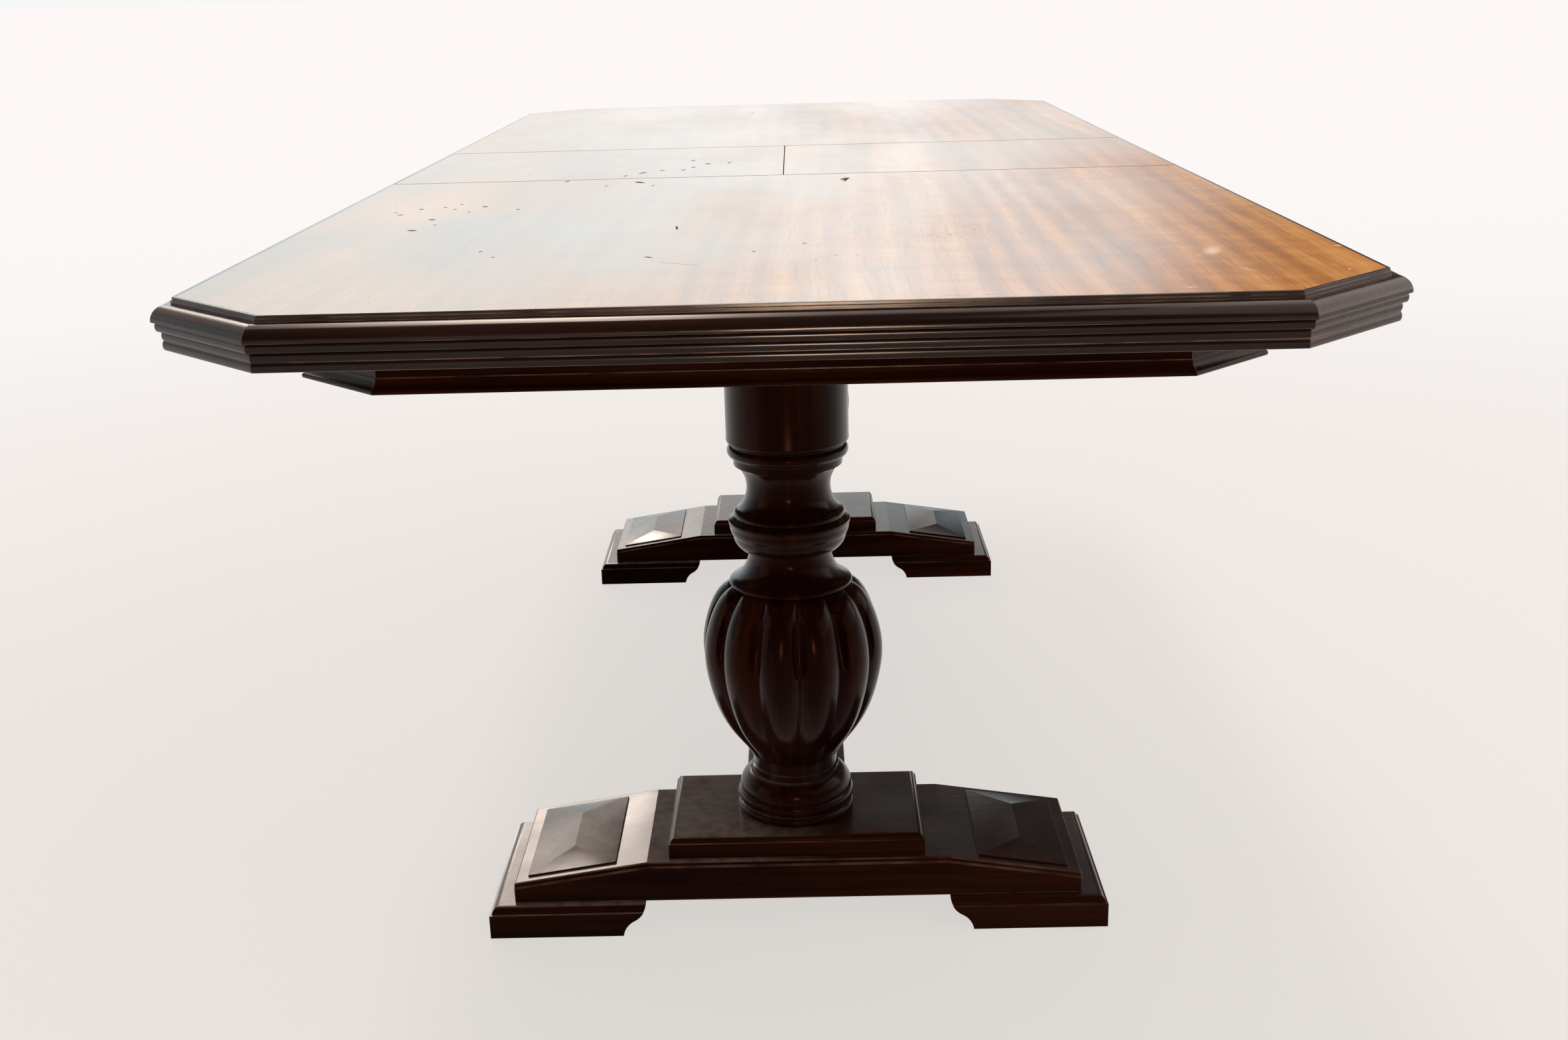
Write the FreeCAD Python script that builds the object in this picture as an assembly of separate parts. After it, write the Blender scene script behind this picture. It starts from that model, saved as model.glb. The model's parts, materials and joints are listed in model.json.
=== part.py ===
# Extending dining table on two turned columns, with a two-part folding leaf.
# The table stands drawn out, with its leaf in place, as it is used.
# Frame: X across the table, Y along it and Z up, in millimetres.
# The origin is on the floor, under the middle of the leaf.

import FreeCAD
import Part

import math
import os

from FreeCAD import Rotation, Vector

# Overall sizes
table_height = 760.0
table_width = 1000.0
closed_length = 1840.0
leaf_length = 400.0

# Tops and leaf
board_thickness = 22.0
cant_leg = 92.0
seam_gap = 0.4
slide_gap = 0.3

# Moulded edging, measured outwards from the edge of the board and down from its top
nose_projection = 20.0
edging_height = 42.0
edging_lap = 30.0
lip_width = 3.0
lip_drop = 2.5
quirk_width = 1.2
quirk_drop = 3.0
shelf_width = 1.6
thumb_drop = 11.5
thumb_edge = 2.0
bead_set_in = 2.5
bead_band = 7.5
band_set_in = 6.5
reed_count = 2
reed_depth = 1.2

# Apron under the sliding tops
apron_height = 93.0
apron_set_in = 38.0
apron_cant_leg = 79.0
rail_thickness = 22.0
bead_projection = 8.0
bead_height = 4.5
bead_round = 1.2
cove_height = 9.5
cove_fillet = 1.5
corner_block_leg = 45.0
corner_block_height = 70.0

# Guide rails, tongues and runners
guide_set_in = 203.0
guide_width = 21.0
guide_height = 38.0
tongue_size = 8.0
tongue_drop = 15.0
runner_width = 28.0
runner_height = 35.0
runner_inner_reach = 170.0
pull_out = 50.0
runner_stop_gap = 0.5
groove_clearance = 0.3

# Screws that hold each runner under its board
runner_screw_radius = 2.5
runner_screw_head_radius = 5.0
runner_screw_head_height = 4.0
runner_screw_bite = 12.0
runner_screw_count = 4
runner_screw_margin = 60.0

# Underframe on each column
leg_spacing = 1180.0
cross_rail_thickness = 30.0
cross_rail_height = 55.0
bearer_height = 41.0
bearer_half_length = 300.0
bearer_width = 110.0
bearer_end_height = 14.0
bearer_end_run = 34.0
bolt_radius = 4.0
bolt_head_radius = 7.5
bolt_head_height = 5.5
bolt_bite = 34.0
bolt_inner_offset = 115.0
bolt_outer_offset = 235.0
bore_clearance = 0.2

# Foot: two pads, a sloping beam, four raised panels and a plinth block
pad_height = 35.0
pad_length = 170.0
pad_ogee = 25.0
pad_end_projection = 27.0
pad_side_projection = 13.0
pad_ovolo = 8.0
pad_step = 2.5
beam_half_length = 308.0
beam_half_depth = 95.0
beam_end_top = 57.0
beam_top = 79.0
beam_slope_run = 145.0
beam_chamfer = 4.0
panel_margin = 14.0
panel_inner_gap = 34.0
panel_base = 2.0
panel_rise = 9.0
panel_hip = 40.0
block_half_length = 139.0
block_half_depth = 84.0
block_top = 102.0
block_ovolo = 6.0
block_step = 1.5

# Turned column with its gadrooned bulb
bulb_radius = 98.5
lobe_count = 12
tenon_radius = 22.0
upper_tenon_length = 34.0
lower_tenon_length = 40.0
tenon_end_gap = 1.0
column_bolt_radius = 5.0
column_bolt_head_radius = 9.0
column_bolt_head_height = 6.5
column_bolt_recess = 8.0
column_bolt_bite = 70.0

# Stretcher between the two feet
stretcher_width = 115.0
stretcher_bottom = 62.0

# Concealed barrel hinges between the two halves of the leaf
barrel_radius = 7.0
barrel_length = 30.0
barrel_offset = 120.0
barrel_slot_width = 5.0
barrel_slot_depth = 20.0

# Every cut runs this far past the surface that it opens
overrun = 5.0

# Outline of the column as shares of the bulb's radius and of the column's height.
# An entry of two numbers is a corner, and one of four is an arc through its first pair.
lower_turning_shares = [
    (0.609, 0.000),
    (0.655, 0.011, 0.609, 0.022),
    (0.614, 0.024),
    (0.655, 0.038, 0.609, 0.052),
    (0.629, 0.054),
    (0.594, 0.078, 0.500, 0.094),
    (0.488, 0.094),
    (0.488, 0.106),
    (0.467, 0.108),
    (0.467, 0.132),
]
upper_turning_shares = [
    (0.640, 0.527),
    (0.673, 0.531, 0.660, 0.538),
    (0.520, 0.560, 0.455, 0.594),
    (0.462, 0.603),
    (0.572, 0.617, 0.622, 0.640),
    (0.629, 0.642),
    (0.648, 0.652, 0.652, 0.662),
    (0.660, 0.664),
    (0.660, 0.671),
    (0.604, 0.677),
    (0.579, 0.680),
    (0.603, 0.682),
    (0.600, 0.689, 0.570, 0.693),
    (0.455, 0.745, 0.550, 0.792),
    (0.588, 0.794),
    (0.588, 0.807),
    (0.609, 0.811),
    (0.655, 0.824, 0.614, 0.836),
    (0.614, 0.841),
    (0.648, 0.843, 0.660, 0.852),
    (0.660, 1.000),
]

# Sections of the bulb from its foot up: the lobes' radius, the grooves' and the height, as shares
bulb_section_shares = [
    (0.478, 0.462, 0.132),
    (0.580, 0.545, 0.162),
    (0.752, 0.690, 0.208),
    (0.895, 0.815, 0.268),
    (0.990, 0.900, 0.345),
    (0.990, 0.900, 0.415),
    (0.895, 0.808, 0.478),
    (0.815, 0.722, 0.505),
    (0.660, 0.612, 0.527),
]

# Derived sizes
mitre_angle = math.radians(45 / 2)
field_half_width = table_width / 2 - nose_projection
field_length = closed_length / 2 - nose_projection
seam_y = leaf_length / 2
field_end_y = seam_y + field_length
board_underside = table_height - board_thickness
rail_top = board_underside - slide_gap
guide_bottom = rail_top - guide_height
runner_bottom = board_underside - runner_height
cross_rail_bottom = guide_bottom - cross_rail_height
bearer_bottom = cross_rail_bottom - bearer_height
apron_half_width = field_half_width - apron_set_in
apron_half_length = field_length - apron_set_in
rail_inner_y = apron_half_length - rail_thickness
guide_offset = apron_half_width - guide_set_in
rail_inner_x = apron_half_width - rail_thickness
leg_y = leg_spacing / 2
column_height = bearer_bottom - block_top
beam_break = beam_half_length - beam_slope_run
pad_outer_end = beam_half_length + pad_end_projection
pad_inner_top = pad_outer_end - pad_length
pad_inner_floor = pad_inner_top + pad_ogee
pad_half_depth = beam_half_depth + pad_side_projection
across = Vector(1, 0, 0)
along = Vector(0, 1, 0)
upwards = Vector(0, 0, 1)


def box(low, high):
    """A box between two opposite corners."""
    size = Vector(*high) - Vector(*low)
    return Part.makeBox(size.x, size.y, size.z, Vector(*low))


def rod(radius, start, along):
    """A round rod from a point, along a vector."""
    return Part.makeCylinder(radius, along.Length, start, along)


def union(shapes):
    """One solid out of several that meet."""
    joined = shapes[0]
    for shape in shapes[1:]:
        joined = joined.fuse(shape)
    return joined.removeSplitter()


def cut_all(shape, tools):
    """The shape less every tool."""
    for tool in tools:
        shape = shape.cut(tool)
    return shape


def outline_face(start, steps, place):
    """A flat face inside an outline. A step of one point is straight; of two, an arc through the first."""
    edges = []
    here = place(*start)
    closing = [] if steps[-1][-1] == start else [(start,)]
    for step in steps + closing:
        there = place(*step[-1])
        if len(step) == 2:
            edges.append(Part.Arc(here, place(*step[0]), there).toShape())
        else:
            edges.append(Part.LineSegment(here, there).toShape())
        here = there
    return Part.Face(Part.Wire(edges))


def prism(points, bottom, top):
    """A straight prism over a plan polygon."""
    corners = [Vector(x, y, bottom) for x, y in points]
    face = Part.Face(Part.makePolygon(corners + corners[:1]))
    return face.extrude(Vector(0, 0, top - bottom))


def mirrored(shape, normal):
    """A copy mirrored through the origin."""
    return shape.mirror(Vector(0, 0, 0), normal)


def canted_corners(half_width, half_length, leg, set_in):
    """Eight corners of a canted plan, anticlockwise, with every side set in."""
    outer_x = half_width - set_in
    outer_y = half_length - set_in
    straight = half_width - leg - set_in * math.tan(mitre_angle)
    leg = outer_x - straight
    quarter = [(straight, -outer_y), (outer_x, -outer_y + leg)]
    right = quarter + [(x, -y) for x, y in reversed(quarter)]
    return right + [(-x, -y) for x, y in right]


def moulded_strip(start, end, top, profile, reach, start_mitre, end_mitre):
    """A straight moulding from start to end, its face to the right, mitred where asked."""
    origin = Vector(start[0], start[1], top)
    run = Vector(end[0] - start[0], end[1] - start[1], 0)
    length = run.Length
    forward = run.normalize()
    outward = Vector(forward.y, -forward.x, 0)
    first, steps = profile

    def place(out, up):
        return origin - forward * reach + outward * out + Vector(0, 0, up)

    bar = outline_face(first, steps, place).extrude(forward * (length + reach * 2))
    start_slope = math.tan(mitre_angle) if start_mitre else 0
    end_slope = math.tan(mitre_angle) if end_mitre else 0
    plan = []
    for out, slope, at in ((-reach, -start_slope, 0), (reach, -start_slope, 0),
                           (reach, end_slope, length), (-reach, end_slope, length)):
        point = origin + outward * out + forward * (at + out * slope)
        plan.append((point.x, point.y))
    return bar.common(prism(plan, top - table_height, top + overrun))


def edging_profile():
    """Top edging: a lip and a quirk, a broad thumb moulding, a bead and reeds, rebated under the board."""
    quirk_out = lip_width + quirk_width
    quirk_bottom = lip_drop + quirk_drop
    thumb_start = quirk_out + shelf_width
    thumb_bottom = quirk_bottom + thumb_drop
    edge_bottom = thumb_bottom + thumb_edge
    bead_bottom = edge_bottom + bead_band
    bead_face = nose_projection - bead_set_in
    band_face = nose_projection - band_set_in
    thumb_middle = (thumb_start + (nose_projection - thumb_start) * math.sin(math.pi / 4),
                    -thumb_bottom + thumb_drop * math.cos(math.pi / 4))
    steps = [
        ((lip_width, 0),),
        ((lip_width, -lip_drop),),
        ((quirk_out, -lip_drop),),
        ((quirk_out, -quirk_bottom),),
        ((thumb_start, -quirk_bottom),),
        (thumb_middle, (nose_projection, -thumb_bottom)),
        ((nose_projection, -edge_bottom),),
        ((bead_face - reed_depth, -edge_bottom),),
        ((bead_face, -edge_bottom - bead_band / 2), (bead_face - reed_depth, -bead_bottom)),
        ((band_face - reed_depth, -bead_bottom),),
    ]
    pitch = (edging_height - bead_bottom) / reed_count
    for index in range(reed_count):
        middle = bead_bottom + pitch * (index + 0.5)
        low = bead_bottom + pitch * (index + 1)
        steps.append(((band_face, -middle), (band_face - reed_depth, -low)))
    steps += [
        ((-edging_lap, -edging_height),),
        ((-edging_lap, -board_thickness),),
        ((0, -board_thickness),),
    ]
    return (0, 0), steps


def apron_profile():
    """Apron rail: a flat face, then a fillet, a cove and a bead along the bottom."""
    cove_bottom = apron_height - bead_height
    cove_top = cove_bottom - cove_height
    cove_out = bead_projection - bead_round
    cove_width = cove_out - cove_fillet
    steps = [
        ((0, 0),),
        ((0, -cove_top),),
        ((cove_fillet, -cove_top),),
        ((cove_out - cove_width * math.cos(math.pi / 4),
          -cove_top - cove_height * math.sin(math.pi / 4)), (cove_out, -cove_bottom)),
        ((bead_projection, -cove_bottom - bead_height / 2), (cove_out, -apron_height)),
        ((-rail_thickness, -apron_height),),
    ]
    return (-rail_thickness, 0), steps


def front_board(runner_x):
    """The front half of the top, with its two canted corners and pilot holes for its runners."""
    corners = canted_corners(field_half_width, field_end_y, cant_leg, 0)
    seam = -seam_y - seam_gap / 2
    plan = [corners[7], corners[0], corners[1], (field_half_width, seam), (-field_half_width, seam),
            corners[6]]
    board = prism(plan, board_underside, table_height)
    holes = [rod(runner_screw_radius + bore_clearance, Vector(x, y, board_underside - overrun),
                 Vector(0, 0, overrun + runner_screw_bite + tenon_end_gap))
             for x, y in runner_screw_places(runner_x)]
    return cut_all(board, holes)


def front_edging():
    """The five mitred lengths of edging round the front half of the top."""
    corners = canted_corners(field_half_width, field_end_y, cant_leg, 0)
    reach = edging_lap + overrun
    profile = edging_profile()
    seam = -seam_y - seam_gap / 2
    right_seam = (field_half_width, seam)
    left_seam = (-field_half_width, seam)
    runs = {
        "end_edging": (corners[7], corners[0], True, True),
        "right_cant_edging": (corners[0], corners[1], True, True),
        "right_side_edging": (corners[1], right_seam, True, False),
        "left_side_edging": (left_seam, corners[6], False, True),
        "left_cant_edging": (corners[6], corners[7], True, True),
    }
    return {name: moulded_strip(start, end, table_height, profile, reach, first, last)
            for name, (start, end, first, last) in runs.items()}


def outer_runner_x():
    """Middle of the runner on the outer side of the guide rail."""
    return guide_offset + guide_width / 2 + groove_clearance + runner_width / 2


def inner_runner_x():
    """Middle of the runner on the inner side of the guide rail."""
    return guide_offset - guide_width / 2 - groove_clearance - runner_width / 2


def runner_start_y():
    """Outer end of a runner: the end rail stops it when the top is pulled right out."""
    return rail_inner_y - runner_stop_gap - pull_out


def runner_screw_places(middle_x):
    """Screws along both front runners, between their outer ends and the seam."""
    first = -runner_start_y() + runner_screw_margin
    last = -seam_y - runner_screw_margin
    pitch = (last - first) / (runner_screw_count - 1)
    return [(side * middle_x, first + pitch * index)
            for side in (1, -1) for index in range(runner_screw_count)]


def front_runner(middle_x, groove_side):
    """A runner under the front board, grooved for the tongue of the guide rail beside it."""
    low_x = middle_x - runner_width / 2
    high_x = middle_x + runner_width / 2
    low_y = -runner_start_y()
    bar = box((low_x, low_y, runner_bottom), (high_x, runner_inner_reach, board_underside))
    face_x = high_x if groove_side > 0 else low_x
    groove_top = rail_top - tongue_drop + groove_clearance
    groove_bottom = groove_top - tongue_size - groove_clearance * 2
    inner = face_x - groove_side * tongue_size
    outer = face_x + groove_side * overrun
    groove = box((min(inner, outer), low_y - overrun, groove_bottom),
                 (max(inner, outer), runner_inner_reach + overrun, groove_top))
    relief = box((low_x - overrun, -seam_y - seam_gap / 2, rail_top),
                 (high_x + overrun, runner_inner_reach + overrun, board_underside + overrun))
    tools = [groove, relief]
    for x, y in runner_screw_places(abs(middle_x)):
        if (x > 0) == (middle_x > 0):
            tools.append(rod(runner_screw_radius + bore_clearance, Vector(x, y, runner_bottom - overrun),
                             Vector(0, 0, runner_height + overrun * 2)))
            tools.append(rod(runner_screw_head_radius + bore_clearance,
                             Vector(x, y, runner_bottom - overrun),
                             Vector(0, 0, overrun + runner_screw_head_height)))
    return cut_all(bar, tools)


def screw(x, y, bottom, shank_radius, head_radius, head_height, length):
    """An upright screw or bolt with its head at the bottom."""
    head = rod(head_radius, Vector(x, y, bottom), Vector(0, 0, head_height))
    shank = rod(shank_radius, Vector(x, y, bottom), Vector(0, 0, length))
    return union([head, shank])


def runner_screws(runner_x):
    """All the screws of a pair of front runners."""
    length = runner_height + runner_screw_bite
    return [screw(x, y, runner_bottom, runner_screw_radius, runner_screw_head_radius,
                  runner_screw_head_height, length)
            for x, y in runner_screw_places(runner_x)]


def half_top(runner_x, guide_side):
    """The front half of the top with its edging and runners. guide_side says where the guide rail lies."""
    nodes = {"board": front_board(runner_x)}
    nodes.update(front_edging())
    nodes["right_runner"] = front_runner(runner_x, guide_side)
    nodes["left_runner"] = front_runner(-runner_x, -guide_side)
    nodes["runner_screws"] = Part.makeCompound(runner_screws(runner_x))
    return nodes


def apron_rails():
    """The eight mitred rails of the apron."""
    corners = canted_corners(apron_half_width, apron_half_length, apron_cant_leg, 0)
    names = ["front_right_corner_rail", "right_side_rail", "back_right_corner_rail", "back_end_rail",
             "back_left_corner_rail", "left_side_rail", "front_left_corner_rail", "front_end_rail"]
    rails = {}
    for index, name in enumerate(names):
        start = corners[index]
        end = corners[(index + 1) % len(corners)]
        rails[name] = moulded_strip(start, end, rail_top, apron_profile(),
                                    rail_thickness + bead_projection, True, True)
    return rails


def corner_blocks():
    """A glued block in each mitre of the apron."""
    corners = [Vector(x, y, 0) for x, y in
               canted_corners(apron_half_width, apron_half_length, apron_cant_leg, rail_thickness)]
    top = rail_top - (apron_height - corner_block_height) / 2
    blocks = []
    for index, corner in enumerate(corners):
        before = (corners[index - 1] - corner).normalize() * corner_block_leg
        after = (corners[(index + 1) % len(corners)] - corner).normalize() * corner_block_leg
        plan = [(p.x, p.y) for p in (corner, corner + before, corner + after)]
        blocks.append(prism(plan, top - corner_block_height, top))
    return blocks


def guide_rail(side):
    """A fixed rail from end rail to end rail, with a tongue along each side."""
    low_x = side * guide_offset - guide_width / 2
    high_x = side * guide_offset + guide_width / 2
    tongue_top = rail_top - tongue_drop
    tongue_reach = tongue_size - groove_clearance
    bar = box((low_x, -rail_inner_y, guide_bottom), (high_x, rail_inner_y, rail_top))
    tongue = box((low_x - tongue_reach, -rail_inner_y, tongue_top - tongue_size),
                 (high_x + tongue_reach, rail_inner_y, tongue_top))
    return union([bar, tongue])


def bolt_places():
    """Bolts that hold the bearers under the cross rails."""
    offsets = (bolt_inner_offset, bolt_outer_offset)
    return [(side * offset, end * leg_y) for end in (-1, 1) for side in (-1, 1) for offset in offsets]


def bolt_holes():
    """Holes for the bearer bolts."""
    depth = overrun + bearer_height + bolt_bite + tenon_end_gap
    return [rod(bolt_radius + bore_clearance, Vector(x, y, bearer_bottom - overrun),
                Vector(0, 0, depth))
            for x, y in bolt_places()]


def cross_rail(end):
    """A rail across the frame over each column, between the side rails."""
    half = cross_rail_thickness / 2
    rail = box((-rail_inner_x, end * leg_y - half, cross_rail_bottom),
               (rail_inner_x, end * leg_y + half, guide_bottom))
    return cut_all(rail, bolt_holes())


def bearer(end):
    """The wide bearer on top of a column, rounded up at both ends."""
    straight = bearer_half_length - bearer_end_run
    knee = cross_rail_bottom - bearer_end_height
    bend = (bearer_half_length - bearer_end_run * (1 - math.cos(math.pi / 4)),
            knee - (knee - bearer_bottom) * math.sin(math.pi / 4))
    steps = [
        ((straight, bearer_bottom),),
        (bend, (bearer_half_length, knee)),
        ((bearer_half_length, cross_rail_bottom),),
        ((-bearer_half_length, cross_rail_bottom),),
        ((-bearer_half_length, knee),),
        ((-bend[0], bend[1]), (-straight, bearer_bottom)),
    ]
    low_y = end * leg_y - bearer_width / 2

    def place(x, z):
        return Vector(x, low_y, z)

    block = outline_face((-straight, bearer_bottom), steps, place)
    block = block.extrude(along * bearer_width)
    socket = rod(tenon_radius + bore_clearance, Vector(0, end * leg_y, bearer_bottom - overrun),
                 Vector(0, 0, overrun + upper_tenon_length + tenon_end_gap))
    return cut_all(block, bolt_holes() + [socket])


def bearer_bolts():
    """The bolts under the two bearers."""
    length = bolt_head_height + bearer_height + bolt_bite
    return [screw(x, y, bearer_bottom - bolt_head_height, bolt_radius, bolt_head_radius,
                  bolt_head_height, length)
            for x, y in bolt_places()]


def ovolo_waste(radius, step, place, run):
    """What an ovolo with a step takes off an upper edge: place takes inwards and down."""
    middle = radius * math.cos(math.pi / 4)
    inner = step + radius
    steps = [
        ((inner, -overrun),),
        ((inner, 0),),
        ((inner - middle, radius - middle), (step, radius)),
        ((-overrun, radius),),
    ]
    return outline_face((-overrun, -overrun), steps, place).extrude(run)


def foot_pad(side, end):
    """A pad under one end of a beam, with a moulded upper edge and an ogee inner end."""
    middle_x = (pad_inner_floor + pad_inner_top) / 2
    middle_z = pad_height / 2
    quarter_run = (pad_inner_floor - pad_inner_top) / 4
    steps = [
        ((pad_outer_end, 0),),
        ((pad_outer_end, pad_height),),
        ((pad_inner_top, pad_height),),
        ((pad_inner_top + quarter_run / 2, middle_z + pad_height / 4), (middle_x, middle_z)),
        ((pad_inner_floor - quarter_run / 2, middle_z - pad_height / 4), (pad_inner_floor, 0)),
    ]

    def place(x, z):
        return Vector(x, -pad_half_depth, z)

    pad = outline_face((pad_inner_floor, 0), steps, place)
    pad = pad.extrude(along * (pad_half_depth * 2))
    length = pad_outer_end + overrun
    wastes = [
        ovolo_waste(pad_ovolo, pad_step,
                    lambda into, down: Vector(0, -pad_half_depth + into, pad_height - down),
                    across * length),
        ovolo_waste(pad_ovolo, pad_step,
                    lambda into, down: Vector(0, pad_half_depth - into, pad_height - down),
                    across * length),
        ovolo_waste(pad_ovolo, pad_step,
                    lambda into, down: Vector(pad_outer_end - into, -pad_half_depth - overrun,
                                              pad_height - down),
                    along * ((pad_half_depth + overrun) * 2)),
    ]
    pad = cut_all(pad, wastes)
    if side < 0:
        pad = mirrored(pad, across)
    pad.translate(along * (end * leg_y))
    return pad


def tenon_socket(end):
    """The socket for the lower tenon of a column."""
    depth = lower_tenon_length + tenon_end_gap
    return rod(tenon_radius + bore_clearance, Vector(0, end * leg_y, block_top - depth),
               Vector(0, 0, depth + overrun))


def foot_beam(end):
    """The beam of a foot: flat in the middle, sloping down to both ends."""
    steps = [
        ((beam_half_length, pad_height),),
        ((beam_half_length, beam_end_top),),
        ((beam_break, beam_top),),
        ((-beam_break, beam_top),),
        ((-beam_half_length, beam_end_top),),
    ]

    def place(x, z):
        return Vector(x, -beam_half_depth, z)

    beam = outline_face((-beam_half_length, pad_height), steps, place)
    beam = beam.extrude(along * (beam_half_depth * 2))
    edges = []
    for edge in beam.Edges:
        extent = edge.BoundBox
        if extent.ZMin > pad_height and extent.XLength > extent.YLength:
            edges.append(edge)
    beam = beam.makeChamfer(beam_chamfer, edges)
    beam.translate(along * (end * leg_y))
    base = Vector(0, end * leg_y, pad_height - overrun)
    bore = rod(column_bolt_radius + bore_clearance, base, Vector(0, 0, beam_top))
    recess = rod(column_bolt_head_radius + bore_clearance, base,
                 Vector(0, 0, overrun + column_bolt_recess))
    return cut_all(beam, [tenon_socket(end), bore, recess])


def hipped_panel(length, width):
    """A raised panel whose four slopes meet in a ridge, on a thin upright edge."""
    ridge = width / 2 - panel_hip
    top = panel_rise
    corners = [(-length / 2, -width / 2), (length / 2, -width / 2),
               (length / 2, width / 2), (-length / 2, width / 2)]
    low = [Vector(x, y, 0) for x, y in corners]
    shoulder = [Vector(x, y, panel_base) for x, y in corners]
    front = Vector(0, -ridge, top)
    back = Vector(0, ridge, top)
    loops = [list(reversed(low))]
    for index in range(len(low)):
        following = (index + 1) % len(low)
        loops.append([low[index], low[following], shoulder[following], shoulder[index]])
    loops.append([shoulder[0], shoulder[1], front])
    loops.append([shoulder[1], shoulder[2], back, front])
    loops.append([shoulder[2], shoulder[3], back])
    loops.append([shoulder[3], shoulder[0], front, back])
    faces = [Part.Face(Part.makePolygon(loop + loop[:1])) for loop in loops]
    solid = Part.makeSolid(Part.makeShell(faces))
    if solid.Volume < 0:
        solid.reverse()
    return solid


def foot_panel(side, end):
    """A raised panel on one slope of a foot."""
    slope = math.atan2(beam_top - beam_end_top, beam_half_length - beam_break)
    inner = beam_break + panel_inner_gap
    outer = beam_half_length - panel_margin
    width = (beam_half_depth - panel_margin) * 2
    panel = hipped_panel((outer - inner) / math.cos(slope), width)
    middle = (inner + outer) / 2
    height = beam_top - (middle - beam_break) * math.tan(slope)
    turn = Rotation(along, math.degrees(slope))
    panel.Placement = FreeCAD.Placement(Vector(middle, 0, height), turn)
    if side < 0:
        panel = mirrored(panel, across)
    panel.translate(along * (end * leg_y))
    return panel


def plinth_block(end):
    """The block between a beam and its column, with an ovolo round its top."""
    block = box((-block_half_length, -block_half_depth, beam_top),
                (block_half_length, block_half_depth, block_top))
    run_x = across * ((block_half_length + overrun) * 2)
    run_y = along * ((block_half_depth + overrun) * 2)
    wastes = []
    for side in (-1, 1):
        wastes.append(ovolo_waste(
            block_ovolo, block_step,
            lambda into, down: Vector(-block_half_length - overrun, side * (block_half_depth - into),
                                      block_top - down), run_x))
        wastes.append(ovolo_waste(
            block_ovolo, block_step,
            lambda into, down: Vector(side * (block_half_length - into), -block_half_depth - overrun,
                                      block_top - down), run_y))
    block = cut_all(block, wastes)
    block.translate(along * (end * leg_y))
    return block.cut(tenon_socket(end))


def turned_steps(shares):
    """Column outline points from shares of the bulb's radius and the column's height."""
    steps = []
    for entry in shares:
        pairs = [entry[index:index + 2] for index in range(0, len(entry), 2)]
        steps.append(tuple((r * bulb_radius, z * column_height) for r, z in pairs))
    return steps


def turning(shares):
    """A turned stretch of the column, standing on its own foot."""
    steps = turned_steps(shares)
    bottom = steps[0][0][1]
    top = steps[-1][-1][1]
    face = outline_face((0, bottom), steps + [((0, top),)], lambda r, z: Vector(r, 0, z))
    return face.revolve(Vector(0, 0, 0), upwards, 360)


def lobed_section(lobe_radius, groove_radius, height):
    """A closed ring of equal arcs, one for each lobe, that meet in the grooves."""
    step = math.pi * 2 / lobe_count
    arcs = []
    for index in range(lobe_count):
        angles = [step * (index + share) for share in (0, 0.5, 1)]
        radii = (groove_radius, lobe_radius, groove_radius)
        points = [Vector(radius * math.cos(angle), radius * math.sin(angle), height)
                  for radius, angle in zip(radii, angles)]
        arcs.append(Part.Arc(*points).toShape())
    return Part.Wire(arcs)


def gadrooned_bulb():
    """The bulb: lobes that swell from the lower neck and round over under the shoulder."""
    sections = [lobed_section(lobe * bulb_radius, groove * bulb_radius, height * column_height)
                for lobe, groove, height in bulb_section_shares]
    return Part.makeLoft(sections, True, False)


def column(end):
    """A turned column with a round tenon at each end and a bore for its bolt."""
    upper_tenon = rod(tenon_radius, Vector(0, 0, column_height - overrun),
                      Vector(0, 0, upper_tenon_length + overrun))
    lower_tenon = rod(tenon_radius, Vector(0, 0, -lower_tenon_length),
                      Vector(0, 0, lower_tenon_length + overrun))
    post = union([gadrooned_bulb(), turning(lower_turning_shares), turning(upper_turning_shares),
                  upper_tenon, lower_tenon])
    bore_start = -lower_tenon_length - overrun
    bore = rod(column_bolt_radius + bore_clearance, Vector(0, 0, bore_start),
               Vector(0, 0, overrun + column_bolt_bite + tenon_end_gap))
    post = post.cut(bore)
    post.translate(Vector(0, end * leg_y, block_top))
    return post


def column_bolts():
    """The bolt up through each foot into its column."""
    bottom = pad_height + column_bolt_recess - column_bolt_head_height
    top = block_top - lower_tenon_length + column_bolt_bite
    return [screw(0, end * leg_y, bottom, column_bolt_radius, column_bolt_head_radius,
                  column_bolt_head_height, top - bottom)
            for end in (-1, 1)]


def stretcher():
    """The flat stretcher between the feet, notched over the inner edge of each beam."""
    half_length = leg_y - block_half_depth
    half_width = stretcher_width / 2
    plank = box((-half_width, -half_length, stretcher_bottom), (half_width, half_length, block_top))
    notches = []
    for end in (-1, 1):
        inner = end * (leg_y - beam_half_depth)
        outer = end * (half_length + overrun)
        notches.append(box((-stretcher_width, min(inner, outer), stretcher_bottom - overrun),
                           (stretcher_width, max(inner, outer), beam_top)))
    return cut_all(plank, notches)


def barrel_places():
    """Two barrel hinges along the middle seam of the leaf."""
    return [-barrel_offset, barrel_offset]


def leaf_panel():
    """The right half of the leaf, bored for its hinge barrels."""
    half_length = seam_y - seam_gap / 2
    panel = box((seam_gap / 2, -half_length, board_underside),
                (field_half_width, half_length, table_height))
    middle = table_height - board_thickness / 2
    bores = [rod(barrel_radius + bore_clearance, Vector(-overrun, y, middle),
                 across * (overrun + barrel_length + tenon_end_gap))
             for y in barrel_places()]
    return cut_all(panel, bores)


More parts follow.
